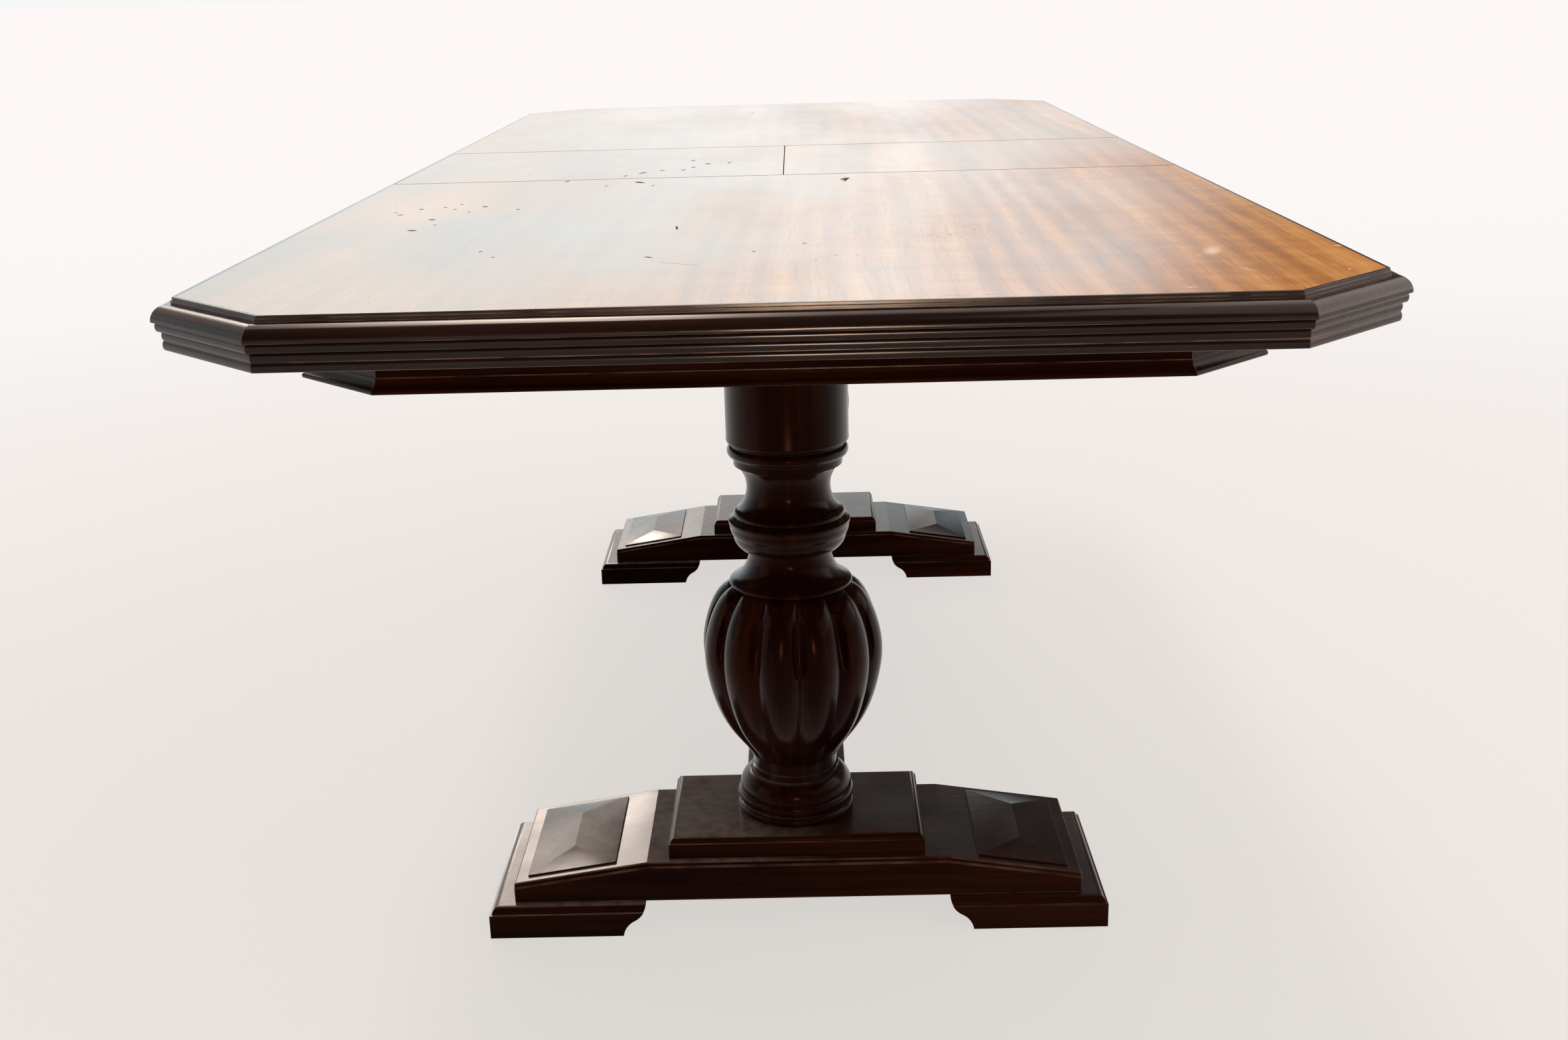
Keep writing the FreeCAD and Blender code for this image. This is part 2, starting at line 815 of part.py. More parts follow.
def leaf_edging():
    """The length of edging on the right end of the leaf."""
    half_length = seam_y - seam_gap / 2
    return moulded_strip((field_half_width, -half_length), (field_half_width, half_length), table_height,
                         edging_profile(), edging_lap + overrun, False, False)


def leaf_barrels():
    """The right halves of the barrel hinges, each slotted for its links."""
    middle = table_height - board_thickness / 2
    barrels = []
    for y in barrel_places():
        barrel = rod(barrel_radius, Vector(seam_gap / 2, y, middle), across * barrel_length)
        slot = box((-overrun, y - barrel_slot_width / 2, middle - barrel_radius - overrun),
                   (barrel_slot_depth, y + barrel_slot_width / 2, middle + barrel_radius + overrun))
        barrels.append(barrel.cut(slot))
    return barrels


def whole_table():
    """Every node of the table, by name."""
    nodes = {}
    for name, shape in half_top(outer_runner_x(), -1).items():
        nodes["front_" + name] = shape
    for name, shape in half_top(inner_runner_x(), 1).items():
        nodes["back_" + name] = mirrored(shape, along)

    barrels = Part.makeCompound(leaf_barrels())
    for name, shape in (("panel", leaf_panel()), ("edging", leaf_edging()), ("hinge_barrels", barrels)):
        nodes["right_leaf_" + name] = shape
        nodes["left_leaf_" + name] = mirrored(shape, across)

    nodes.update(apron_rails())
    nodes["corner_blocks"] = Part.makeCompound(corner_blocks())
    nodes["right_guide_rail"] = guide_rail(1)
    nodes["left_guide_rail"] = guide_rail(-1)
    for end_name, end in (("front", -1), ("back", 1)):
        nodes[end_name + "_cross_rail"] = cross_rail(end)
        nodes[end_name + "_bearer"] = bearer(end)
        nodes[end_name + "_column"] = column(end)
        nodes[end_name + "_plinth_block"] = plinth_block(end)
        nodes[end_name + "_foot_beam"] = foot_beam(end)
        for side_name, side in (("left", -1), ("right", 1)):
            nodes[end_name + "_" + side_name + "_foot_panel"] = foot_panel(side, end)
            nodes[end_name + "_" + side_name + "_foot_pad"] = foot_pad(side, end)
    nodes["bearer_bolts"] = Part.makeCompound(bearer_bolts())
    nodes["column_bolts"] = Part.makeCompound(column_bolts())
    nodes["stretcher"] = stretcher()
    return nodes


def write(nodes):
    """One file for each node."""
    os.makedirs("parts", exist_ok=True)
    for name, shape in nodes.items():
        shape.exportStep(os.path.join("parts", name + ".step"))


if __name__ == "__main__":
    write(whole_table())
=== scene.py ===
import json
import math
from math import radians

import bpy
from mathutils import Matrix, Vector

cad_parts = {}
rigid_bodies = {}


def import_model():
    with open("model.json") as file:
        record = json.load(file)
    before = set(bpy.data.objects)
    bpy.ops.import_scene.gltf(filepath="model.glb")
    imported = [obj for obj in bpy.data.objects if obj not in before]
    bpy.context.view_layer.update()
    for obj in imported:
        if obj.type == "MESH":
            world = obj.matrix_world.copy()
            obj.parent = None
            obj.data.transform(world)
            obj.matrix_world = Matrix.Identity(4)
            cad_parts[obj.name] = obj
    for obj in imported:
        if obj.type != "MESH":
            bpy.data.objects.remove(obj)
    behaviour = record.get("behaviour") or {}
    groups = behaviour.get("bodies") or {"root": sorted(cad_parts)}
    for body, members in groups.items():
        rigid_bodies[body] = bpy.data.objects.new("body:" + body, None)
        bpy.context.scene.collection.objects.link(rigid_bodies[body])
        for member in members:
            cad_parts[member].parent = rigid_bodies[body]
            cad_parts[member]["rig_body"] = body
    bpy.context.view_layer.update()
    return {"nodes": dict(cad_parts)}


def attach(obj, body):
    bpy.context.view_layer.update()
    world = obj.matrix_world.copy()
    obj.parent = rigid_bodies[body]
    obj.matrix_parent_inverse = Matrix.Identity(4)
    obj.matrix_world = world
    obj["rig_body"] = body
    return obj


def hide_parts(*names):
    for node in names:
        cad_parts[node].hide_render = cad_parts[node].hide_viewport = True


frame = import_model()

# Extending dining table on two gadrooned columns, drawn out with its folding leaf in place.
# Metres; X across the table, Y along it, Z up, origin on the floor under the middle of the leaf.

nodes = frame["nodes"]
print("frame loaded:", len(nodes), "nodes")


# Colour and node helpers

colourA, colourB, colourOut = 6, 7, 2            # where a Mix node keeps its colours
commonNoise = {"From Min": 0.3, "From Max": 0.7}    # nearly all values of a noise lie between these


def linearColour(hexCode):
    # the standard curve from sRGB to linear light
    channels = [int(hexCode[i:i + 2], 16) / 255 for i in (1, 3, 5)]
    return [c / 12.92 if c <= 0.04045 else ((c + 0.055) / 1.055) ** 2.4 for c in channels] + [1.0]


def addNode(tree, kind, inputs=None, **settings):
    # adds one node, sets what it is told to, and links every input that is another node's output
    node = tree.nodes.new(kind)
    for name, value in settings.items():
        setattr(node, name, value)
    for name, value in (inputs or {}).items():
        if isinstance(value, bpy.types.NodeSocket):
            tree.links.new(value, node.inputs[name])
        else:
            node.inputs[name].default_value = value
    return node


def setRamp(node, stops):
    # stops are (place, hex colour) or (place, grey value)
    ramp = node.color_ramp
    while len(ramp.elements) < len(stops):
        ramp.elements.new(0.5)
    for element, (place, value) in zip(ramp.elements, stops):
        element.position = place
        element.color = linearColour(value) if isinstance(value, str) else (value, value, value, 1)
    return node.outputs["Color"]


def streakNoise(tree, along, streak):
    # a noise drawn out to the width, length and depth of one kind of streak
    width, length, depth = streak["size"]
    scaled = addNode(tree, "ShaderNodeMapping", {
        "Vector": along, "Scale": (0.5 / width, 0.5 / length, 0.5 / depth)})
    return addNode(tree, "ShaderNodeTexNoise", {
        "Vector": scaled.outputs[0], "Scale": 1.0, "Detail": streak["detail"],
        "Roughness": streak["roughness"]}).outputs["Fac"]


def newMaterial(name):
    material = bpy.data.materials.new(name)
    material.use_nodes = True
    tree = material.node_tree
    tree.nodes.clear()
    return material, tree


def closeMaterial(tree, shader):
    addNode(tree, "ShaderNodeOutputMaterial", {"Surface": shader.outputs[0]})


# Veneered top: ribbon-stripe sapele veneer, stained and lacquered.
# The stripes come from interlocked grain, quarter cut: soft light and dark bands along the board,
# crossed by a faint mottle. The pores lie along the grain. Years of use leave specks, dents and
# pale scratches in the lacquer, and the lacquer itself has a slight ripple that breaks up the glare.
veneer = {
    "faceHeight": 0.76,
    "seamY": 0.2,                    # the two seams across lie this far from the middle
    "seamAcross": 0.0017,            # half the dark line of dirt along the seams of the leaf
    "seamMiddle": 0.0007,

    # streaks: width, length and depth in metres; a large depth keeps them even through the sheet
    "ribbon": {"size": (0.031, 0.80, 0.5), "detail": 2.0, "roughness": 0.5},
    "strongPatch": {"size": (0.16, 0.50, 0.5), "detail": 1.0, "roughness": 0.5},
    "mottle": {"size": (0.040, 0.016, 0.5), "detail": 2.0, "roughness": 0.5},
    "fibre": {"size": (0.0040, 0.22, 0.5), "detail": 2.0, "roughness": 0.6},
    # real pores are 0.3 mm wide; drawn coarser so that they show
    "pore": {"size": (0.0016, 0.050, 0.5), "detail": 1.0, "roughness": 0.5},

    "ribbonPair": 0.031,             # one light and one dark stripe together
    "ribbonStrength": {"From Min": 0.35, "From Max": 0.65, "To Min": 0.07, "To Max": 0.25},
    "ribbonColours": [(0.26, "#9c652c"), (0.50, "#b57a3b"), (0.74, "#c68d4d")],
    "wanderScale": (3.0, 1.3, 1),
    "wanderNoise": {"Scale": 1.0, "Detail": 2.0},
    "wanderBy": (0.05, 0.0, 0.0),    # the stripes wander by this much to either side
    "mottleShade": {"To Min": 0.88, "To Max": 1.11},
    "fibreShade": {"To Min": 0.93, "To Max": 1.06},
    "poreShare": {"From Min": 0.50, "From Max": 0.74, "To Min": 0.0, "To Max": 0.32},
    # painted glare: the figure is painted out into a plain brown from this place on the right to that on
    # the left, where the window's veil lies on the lacquer
    "plainShare": {"From Min": 0.20, "From Max": -0.20, "To Min": 0.0, "To Max": 0.65},

    "crumbSpacing": {"Scale": 55.0, "Randomness": 1.0},    # about 18 mm apart
    "crumbDot": {"From Min": 0.11, "From Max": 0.05, "To Min": 0.0, "To Max": 1.0},
    "crumbPatch": {"Scale": 4.5, "Detail": 2.0},
    "crumbShare": {"From Min": 0.60, "From Max": 0.70, "To Min": 0.0, "To Max": 0.8},
    "dentCore": 0.45,                # a mark is full up to this share of its half size, then fades
    "scuffCore": 0.10,
    "markDepth": 0.02,
    "scuffShare": 0.65,
    # "plain" is the brown painted over the figure on the left, where the glare lies
    "colours": {
        "pore": "#5e3416", "plain": "#937149", "crumb": "#4a2a14", "dirt": "#24130b",
        "dent": "#170b06", "scuff": "#b8b5b0"},

    "smear": {"Scale": (5.0, 2.2, 1), "Rotation": (0, 0, 0.4)},
    "smearNoise": {"Scale": 1.0, "Detail": 4.0},
    "gloss": {"To Min": 0.12, "To Max": 0.23},
    "scuffWear": 0.55,
    "wearDulls": 0.9,                # roughness that full wear adds
    "ripple": {"Scale": 1 / 0.007, "Detail": 1.0},    # orange peel of the lacquer, 7 mm apart
    "poreSinks": -0.04,
    "dentSinks": -1.5,
    "relief": {"Strength": 0.10, "Distance": 0.0006},
    "ior": 1.5,
}
waveBand = radians(18)               # the spacing of a wave texture's bands at scale 1

# Marks on the top, from the photograph: place, length and width in metres, and turn in degrees
darkMarks = [
    ((-0.173, -0.246), 0.027, 0.0100, -61), ((0.074, -0.262), 0.030, 0.0120, 75),
    ((0.075, -0.270), 0.050, 0.0050, 82), ((-0.102, -0.668), 0.034, 0.0030, -85),
    ((-0.115, -0.858), 0.012, 0.0060, -41), ((-0.086, -0.900), 0.060, 0.0012, -35),
    ((-0.367, -0.640), 0.016, 0.0110, -41), ((-0.363, -0.558), 0.015, 0.0080, -57),
    ((-0.406, -0.510), 0.010, 0.0080, 72), ((-0.393, -0.464), 0.012, 0.0050, 82),
    ((-0.325, -0.455), 0.012, 0.0080, -59), ((-0.284, -0.487), 0.009, 0.0050, -69),
    ((-0.264, -0.215), 0.020, 0.0050, 77), ((-0.100, -0.038), 0.015, 0.0080, -64),
    ((-0.072, -0.030), 0.022, 0.0045, 76), ((-0.117, -0.079), 0.012, 0.0080, 75),
    ((-0.128, -0.111), 0.020, 0.0045, 76), ((-0.178, -0.136), 0.020, 0.0080, 60),
    ((0.022, -0.795), 0.007, 0.0040, -58), ((-0.023, -0.839), 0.006, 0.0040, -61),
    ((-0.272, -0.799), 0.008, 0.0045, -66), ((-0.255, -0.836), 0.006, 0.0045, -55),
    ((-0.352, -0.600), 0.008, 0.0050, -57), ((-0.369, -0.452), 0.008, 0.0050, -63),
    ((-0.355, -0.471), 0.008, 0.0045, -63), ((-0.335, -0.499), 0.008, 0.0045, -63),
    ((-0.355, -0.430), 0.008, 0.0045, -63), ((-0.415, -0.491), 0.008, 0.0050, -61),
    ((-0.154, -0.285), 0.014, 0.0035, 77), ((-0.197, -0.167), 0.016, 0.0045, 77),
    ((-0.155, -0.113), 0.012, 0.0070, -59), ((-0.210, -0.277), 0.014, 0.0035, 77),
    ((-0.122, 0.012), 0.018, 0.0050, 80),
]
# pale marks: scuffs, scratches and a smear; the short ones along the near edge, at y about -1.08, are
# painted glints
paleMarks = [
    ((0.367, -0.899), 0.064, 0.0210, 75), ((0.352, -0.918), 0.010, 0.0050, 10),
    ((0.349, -0.836), 0.010, 0.0040, 80), ((0.392, -0.486), 0.016, 0.0032, 80),
    ((0.366, -0.599), 0.020, 0.0030, 82), ((0.349, -0.835), 0.010, 0.0060, 80),
    ((0.479, -0.887), 0.016, 0.0080, -18), ((0.211, -0.823), 0.069, 0.0020, -43),
    ((0.264, -0.874), 0.053, 0.0018, -35), ((0.243, -0.851), 0.060, 0.0012, -88),
    ((0.307, -0.914), 0.053, 0.0016, -70), ((0.338, -0.864), 0.032, 0.0018, -17),
    ((0.372, -0.999), 0.041, 0.0015, -71), ((0.135, -1.088), 0.024, 0.0080, 1),
    ((0.160, -1.089), 0.020, 0.0060, 1), ((0.238, -1.086), 0.014, 0.0080, 10),
    ((0.312, -1.077), 0.014, 0.0060, 19), ((0.450, -1.011), 0.008, 0.0030, 80),
    ((0.271, -0.419), 0.030, 0.0026, 3), ((0.357, -0.286), 0.033, 0.0020, -69),
    ((0.355, -0.556), 0.038, 0.0018, -65), ((0.310, -0.930), 0.070, 0.0010, -55),
    ((-0.330, 0.520), 0.080, 0.0012, 40), ((0.120, 0.610), 0.070, 0.0012, -20),
    ((-0.060, 0.860), 0.040, 0.0060, 80),
]

# The sheet of each board: how far it is moved and turned on the pattern, and between which places
# along the table it takes in marks
boards = {
    "front_board": {
        "material": "sapeleVeneerFrontBoard",
        "shift": (0.0, 0.0, 0.0), "lean": 1.0, "marksFrom": -2.0, "marksTo": -0.2},
    "back_board": {
        "material": "sapeleVeneerBackBoard",
        "shift": (3.1, 1.7, 0.0), "lean": -0.6, "marksFrom": 0.2, "marksTo": 2.0},
    "right_leaf_panel": {
        "material": "sapeleVeneerRightLeaf",
        "shift": (6.4, 4.3, 0.0), "lean": 0.8, "marksFrom": -0.2, "marksTo": 0.2},
    "left_leaf_panel": {
        "material": "sapeleVeneerLeftLeaf",
        "shift": (9.2, 7.9, 0.0), "lean": -0.5, "marksFrom": -0.2, "marksTo": 0.2},
}


def markMask(tree, position, marks, core):
    # one soft-edged oval for each mark, full up to its core, all joined by the greatest value
    joined = addNode(tree, "ShaderNodeValue").outputs[0]
    joined.default_value = 0.0
    for (x, y), length, width, turn in marks:
        moved = addNode(tree, "ShaderNodeMapping", {
            "Vector": position, "Location": (x, y, veneer["faceHeight"]),
            "Rotation": (0, 0, radians(turn)),
            "Scale": (length / 2, width / 2, veneer["markDepth"])}, vector_type="TEXTURE")
        far = addNode(tree, "ShaderNodeVectorMath", {0: moved.outputs[0]}, operation="LENGTH")
        oval = addNode(tree, "ShaderNodeMapRange", {
            "Value": far.outputs["Value"], "From Min": 1.0, "From Max": core,
            "To Min": 0.0, "To Max": 1.0})
        joined = addNode(tree, "ShaderNodeMath", {
            0: joined, 1: oval.outputs[0]}, operation="MAXIMUM").outputs[0]
    return joined


def sapeleVeneer(board):
    material, tree = newMaterial(board["material"])
    ownDark = [mark for mark in darkMarks if board["marksFrom"] <= mark[0][1] < board["marksTo"]]
    ownPale = [mark for mark in paleMarks if board["marksFrom"] <= mark[0][1] < board["marksTo"]]
    position = addNode(tree, "ShaderNodeTexCoord").outputs["Object"]
    place = addNode(tree, "ShaderNodeSeparateXYZ", {0: position})
    sheet = addNode(tree, "ShaderNodeMapping", {
        "Vector": position, "Location": board["shift"],
        "Rotation": (0, 0, radians(board["lean"]))}).outputs[0]
    # the stripes wander a little from side to side along the board
    wander = addNode(tree, "ShaderNodeMapping", {"Vector": sheet, "Scale": veneer["wanderScale"]})
    wander = addNode(tree, "ShaderNodeTexNoise", {"Vector": wander.outputs[0], **veneer["wanderNoise"]})
    bent = addNode(tree, "ShaderNodeVectorMath", {
        0: wander.outputs["Color"], 1: veneer["wanderBy"], 2: sheet},
        operation="MULTIPLY_ADD").outputs[0]

    # even soft stripes, made stronger and weaker along the board by a slow noise
    stripes = addNode(tree, "ShaderNodeTexWave", {
        "Vector": bent, "Scale": waveBand / veneer["ribbonPair"]},
        wave_type="BANDS", bands_direction="X")
    stripes = addNode(tree, "ShaderNodeMath", {
        0: stripes.outputs["Fac"], 1: 0.5}, operation="SUBTRACT").outputs[0]
    strength = addNode(tree, "ShaderNodeMapRange", {
        "Value": streakNoise(tree, bent, veneer["strongPatch"]), **veneer["ribbonStrength"]}).outputs[0]
    uneven = streakNoise(tree, bent, veneer["ribbon"])
    ribbon = addNode(tree, "ShaderNodeMath", {
        0: stripes, 1: strength, 2: uneven}, operation="MULTIPLY_ADD").outputs[0]
    colour = setRamp(addNode(tree, "ShaderNodeValToRGB", {"Fac": ribbon}), veneer["ribbonColours"])
    # the mottle lies across the sheet, the fibres along the stripes
    for streak, shade, along in (("mottle", "mottleShade", sheet), ("fibre", "fibreShade", bent)):
        shaded = addNode(tree, "ShaderNodeMapRange", {
            "Value": streakNoise(tree, along, veneer[streak]), **commonNoise, **veneer[shade]})
        colour = addNode(tree, "ShaderNodeVectorMath", {
            0: colour, 1: shaded.outputs[0]}, operation="MULTIPLY").outputs[0]
    pores = addNode(tree, "ShaderNodeMapRange", {
        "Value": streakNoise(tree, bent, veneer["pore"]), **veneer["poreShare"]}).outputs[0]
    # painted glare: on the left the figure fades into the plain brown
    glareFade = addNode(tree, "ShaderNodeMapRange", {
        "Value": place.outputs["X"], **veneer["plainShare"]}).outputs[0]

    # small dark specks, in patches where things were set down
    crumbs = addNode(tree, "ShaderNodeTexVoronoi", {"Vector": position, **veneer["crumbSpacing"]})
    crumbs = addNode(tree, "ShaderNodeMapRange", {
        "Value": crumbs.outputs["Distance"], **veneer["crumbDot"]}).outputs[0]
    patch = addNode(tree, "ShaderNodeTexNoise", {"Vector": position, **veneer["crumbPatch"]})
    patch = addNode(tree, "ShaderNodeMapRange", {
        "Value": patch.outputs["Fac"], **veneer["crumbShare"]}).outputs[0]
    crumbs = addNode(tree, "ShaderNodeMath", {0: crumbs, 1: patch}, operation="MULTIPLY").outputs[0]

    # dirt packed into the seams round the leaf
    offMiddle = addNode(tree, "ShaderNodeMath", {0: place.outputs["Y"]}, operation="ABSOLUTE").outputs[0]
    acrossSeam = addNode(tree, "ShaderNodeMath", {
        0: offMiddle, 1: veneer["seamY"], 2: veneer["seamAcross"]}, operation="COMPARE").outputs[0]
    middleSeam = addNode(tree, "ShaderNodeMath", {
        0: place.outputs["X"], 1: 0.0, 2: veneer["seamMiddle"]}, operation="COMPARE").outputs[0]
    onLeaf = addNode(tree, "ShaderNodeMath", {
        0: offMiddle, 1: veneer["seamY"]}, operation="LESS_THAN").outputs[0]
    middleSeam = addNode(tree, "ShaderNodeMath", {
        0: middleSeam, 1: onLeaf}, operation="MULTIPLY").outputs[0]
    seams = addNode(tree, "ShaderNodeMath", {
        0: acrossSeam, 1: middleSeam}, operation="MAXIMUM").outputs[0]

    dents = markMask(tree, position, ownDark, veneer["dentCore"])
    # pale marks: scuffs, with painted glints among them along the near edge
    scuffsAndGlints = markMask(tree, position, ownPale, veneer["scuffCore"])
    paleShare = addNode(tree, "ShaderNodeMath", {
        0: scuffsAndGlints, 1: veneer["scuffShare"]}, operation="MULTIPLY").outputs[0]
    for mask, layer in (
            (pores, "pore"), (glareFade, "plain"), (crumbs, "crumb"), (seams, "dirt"), (dents, "dent"),
            (paleShare, "scuff")):
        colour = addNode(tree, "ShaderNodeMix", {
            "Factor": mask, colourA: colour, colourB: linearColour(veneer["colours"][layer])},
            data_type="RGBA").outputs[colourOut]

    # gloss: cloth marks make it uneven in broad patches; scuffs, the painted glints, dents, specks and
    # dirt are dull
    smear = addNode(tree, "ShaderNodeMapping", {"Vector": position, **veneer["smear"]})
    smear = addNode(tree, "ShaderNodeTexNoise", {"Vector": smear.outputs[0], **veneer["smearNoise"]})
    roughness = addNode(tree, "ShaderNodeMapRange", {
        "Value": smear.outputs["Fac"], **commonNoise, **veneer["gloss"]}).outputs[0]
    worn = addNode(tree, "ShaderNodeMath", {
        0: scuffsAndGlints, 1: veneer["scuffWear"]}, operation="MULTIPLY").outputs[0]
    for mask in (dents, crumbs, seams):
        worn = addNode(tree, "ShaderNodeMath", {0: worn, 1: mask}, operation="MAXIMUM").outputs[0]
    roughness = addNode(tree, "ShaderNodeMath", {
        0: worn, 1: veneer["wearDulls"], 2: roughness},
        operation="MULTIPLY_ADD", use_clamp=True).outputs[0]

    height = addNode(tree, "ShaderNodeTexNoise", {"Vector": position, **veneer["ripple"]}).outputs["Fac"]
    for mask, sinks in ((pores, "poreSinks"), (dents, "dentSinks")):
        height = addNode(tree, "ShaderNodeMath", {
            0: mask, 1: veneer[sinks], 2: height}, operation="MULTIPLY_ADD").outputs[0]
    bump = addNode(tree, "ShaderNodeBump", {"Height": height, **veneer["relief"]})
    shader = addNode(tree, "ShaderNodeBsdfPrincipled", {
        "Base Color": colour, "Roughness": roughness, "IOR": veneer["ior"], "Normal": bump.outputs[0]})
    closeMaterial(tree, shader)
    return material


# Mouldings, apron, columns and feet: beech or mahogany turned dark by stain, under a satin lacquer.
# The eye gets near-black red-brown with faint streaks along the grain, sharp lights on every bead,
# and a warmer brown where hands and knees have thinned the stain on the edges. That edge colour is
# pale enough to be painted highlight lines along the arrises as well.
stain = {
    # streaks: width, length and depth in metres. Rays and pores are 1 mm wide in life, drawn coarser
    "figure": {"size": (0.030, 0.45, 0.030), "detail": 3.0, "roughness": 0.6},
    "fine": {"size": (0.0035, 0.10, 0.0035), "detail": 3.0, "roughness": 0.65},
    "fineShare": 0.45,
    "colours": [(0.50, "#0c0302"), (0.70, "#170704"), (0.92, "#2c120a")],

    "rubbed": "#7d6252",             # the eased edge, where the stain is thin in places, made pale as a painted highlight line
    "rubbedPatch": {"Scale": 28.0, "Detail": 3.0},
    "rubbedShare": {"From Min": 0.36, "From Max": 0.66, "To Min": 0.05},

    # thin grey dust on the feet, where a cloth seldom goes: it lies on what faces up, near the floor,
    # and more of it on their left halves. It is partly painted sheen: what faces up is made paler as if
    # lit, and the much heavier left halves paint light falling from the left while the column shades the
    # right
    "dust": "#8d8078",
    "dustFacing": {"From Min": 0.80, "From Max": 0.98},
    "dustHeight": {"From Min": 0.30, "From Max": 0.15},
    "dustAcross": {"From Min": -0.06, "From Max": 0.04, "To Min": 0.75, "To Max": 0.04},
    "dustGrain": {"Scale": 60.0, "Detail": 5.0},

    "cloudy": {"Scale": 9.0, "Detail": 3.0},
    "relief": {"Strength": 0.18, "Distance": 0.0006},
}
# For each finish: how rough it is, the tint and strength of what it gives back when seen straight
# on, which is little through the brown lacquer, and how far its edges are rubbed and painted pale as
# highlight lines
gloss = {
    "turned": {"roughness": (0.13, 0.25), "glint": "#4a2f28", "ior": 1.50},
    "apron": {"roughness": (0.22, 0.34), "glint": "#402822", "ior": 1.35},
    "moulded": {"roughness": (0.11, 0.23), "glint": "#e6d8d0", "ior": 1.39, "rubbed": 0.70},
    "foot": {"roughness": (0.17, 0.29), "glint": "#33201b", "ior": 1.50, "rubbed": 0.36},
}
alongX, alongY, alongZ = (0, 0, radians(90)), (0, 0, 0), (radians(90), 0, 0)
alongCantRight, alongCantLeft = (0, 0, radians(-45)), (0, 0, radians(45))


def stainedWood(name, grainTurn, finish, rubbed=False):
    lacquer = gloss[finish]
    material, tree = newMaterial(name)
    position = addNode(tree, "ShaderNodeTexCoord").outputs["Object"]
    place = addNode(tree, "ShaderNodeSeparateXYZ", {0: position})
    # after this turn the grain runs along the pattern's own Y
    grain = addNode(tree, "ShaderNodeMapping", {"Vector": position, "Rotation": grainTurn}).outputs[0]
    figure = streakNoise(tree, grain, stain["figure"])
    fine = streakNoise(tree, grain, stain["fine"])
    mixed = addNode(tree, "ShaderNodeMath", {
        0: fine, 1: stain["fineShare"], 2: figure}, operation="MULTIPLY_ADD").outputs[0]
    colour = setRamp(addNode(tree, "ShaderNodeValToRGB", {"Fac": mixed}), stain["colours"])
    layers = []
    # rubbed stain on the eased edges, which also paints pale highlight lines along the arrises
    if rubbed:
        rubbedAndHighlightMask = addNode(tree, "ShaderNodeTexNoise", {"Vector": position, **stain["rubbedPatch"]})
        rubbedAndHighlightMask = addNode(tree, "ShaderNodeMapRange", {
            "Value": rubbedAndHighlightMask.outputs["Fac"], **stain["rubbedShare"], "To Max": lacquer["rubbed"]})
        layers.append((rubbedAndHighlightMask.outputs[0], "rubbed"))

    # dust, partly painted sheen: on what faces up, near the floor, and much heavier on the left
    facing = addNode(tree, "ShaderNodeTexCoord").outputs["Normal"]
    facing = addNode(tree, "ShaderNodeSeparateXYZ", {0: facing}).outputs["Z"]
    dust = addNode(tree, "ShaderNodeMapRange", {"Value": facing, **stain["dustFacing"]}).outputs[0]
    low = addNode(tree, "ShaderNodeMapRange", {
        "Value": place.outputs["Z"], **stain["dustHeight"]}).outputs[0]
    across = addNode(tree, "ShaderNodeMapRange", {
        "Value": place.outputs["X"], **stain["dustAcross"]}).outputs[0]
    settled = addNode(tree, "ShaderNodeTexNoise", {
        "Vector": position, **stain["dustGrain"]}).outputs["Fac"]
    for share in (low, across, settled):
        dust = addNode(tree, "ShaderNodeMath", {0: dust, 1: share}, operation="MULTIPLY").outputs[0]
    layers.append((dust, "dust"))
    for mask, layer in layers:
        colour = addNode(tree, "ShaderNodeMix", {
            "Factor": mask, colourA: colour, colourB: linearColour(stain[layer])},
            data_type="RGBA").outputs[colourOut]

    cloudy = addNode(tree, "ShaderNodeTexNoise", {"Vector": position, **stain["cloudy"]}).outputs["Fac"]
    glossiest, dullest = lacquer["roughness"]
    roughness = addNode(tree, "ShaderNodeMapRange", {
        "Value": cloudy, **commonNoise, "To Min": glossiest, "To Max": dullest}).outputs[0]
    bump = addNode(tree, "ShaderNodeBump", {"Height": fine, **stain["relief"]})
    shader = addNode(tree, "ShaderNodeBsdfPrincipled", {
        "Base Color": colour, "Roughness": roughness, "IOR": lacquer["ior"],
        "Specular Tint": linearColour(lacquer["glint"]), "Normal": bump.outputs[0]})
    closeMaterial(tree, shader)
    return material


# Runners, guide rails and cross rails: plain beech, sawn and waxed, seen only when the top is open.
# A mid brown with fine straight streaks and no gloss.
plainBeech = {
    "streak": {"size": (0.004, 0.12, 0.004), "detail": 4.0, "roughness": 0.65},
    "colours": [(0.32, "#5b4130"), (0.70, "#8a6a4c")],
    "roughness": {"To Min": 0.60, "To Max": 0.76},
    "relief": {"Strength": 0.3, "Distance": 0.0005},
    "ior": 1.45,
}


def waxedBeech(name, grainTurn):
    material, tree = newMaterial(name)
    position = addNode(tree, "ShaderNodeTexCoord").outputs["Object"]
    grain = addNode(tree, "ShaderNodeMapping", {"Vector": position, "Rotation": grainTurn}).outputs[0]
    streak = streakNoise(tree, grain, plainBeech["streak"])
    colour = setRamp(addNode(tree, "ShaderNodeValToRGB", {"Fac": streak}), plainBeech["colours"])
    roughness = addNode(tree, "ShaderNodeMapRange", {
        "Value": streak, **commonNoise, **plainBeech["roughness"]}).outputs[0]
    bump = addNode(tree, "ShaderNodeBump", {"Height": streak, **plainBeech["relief"]})
    shader = addNode(tree, "ShaderNodeBsdfPrincipled", {
        "Base Color": colour, "Roughness": roughness, "IOR": plainBeech["ior"],
        "Normal": bump.outputs[0]})
    closeMaterial(tree, shader)
    return material


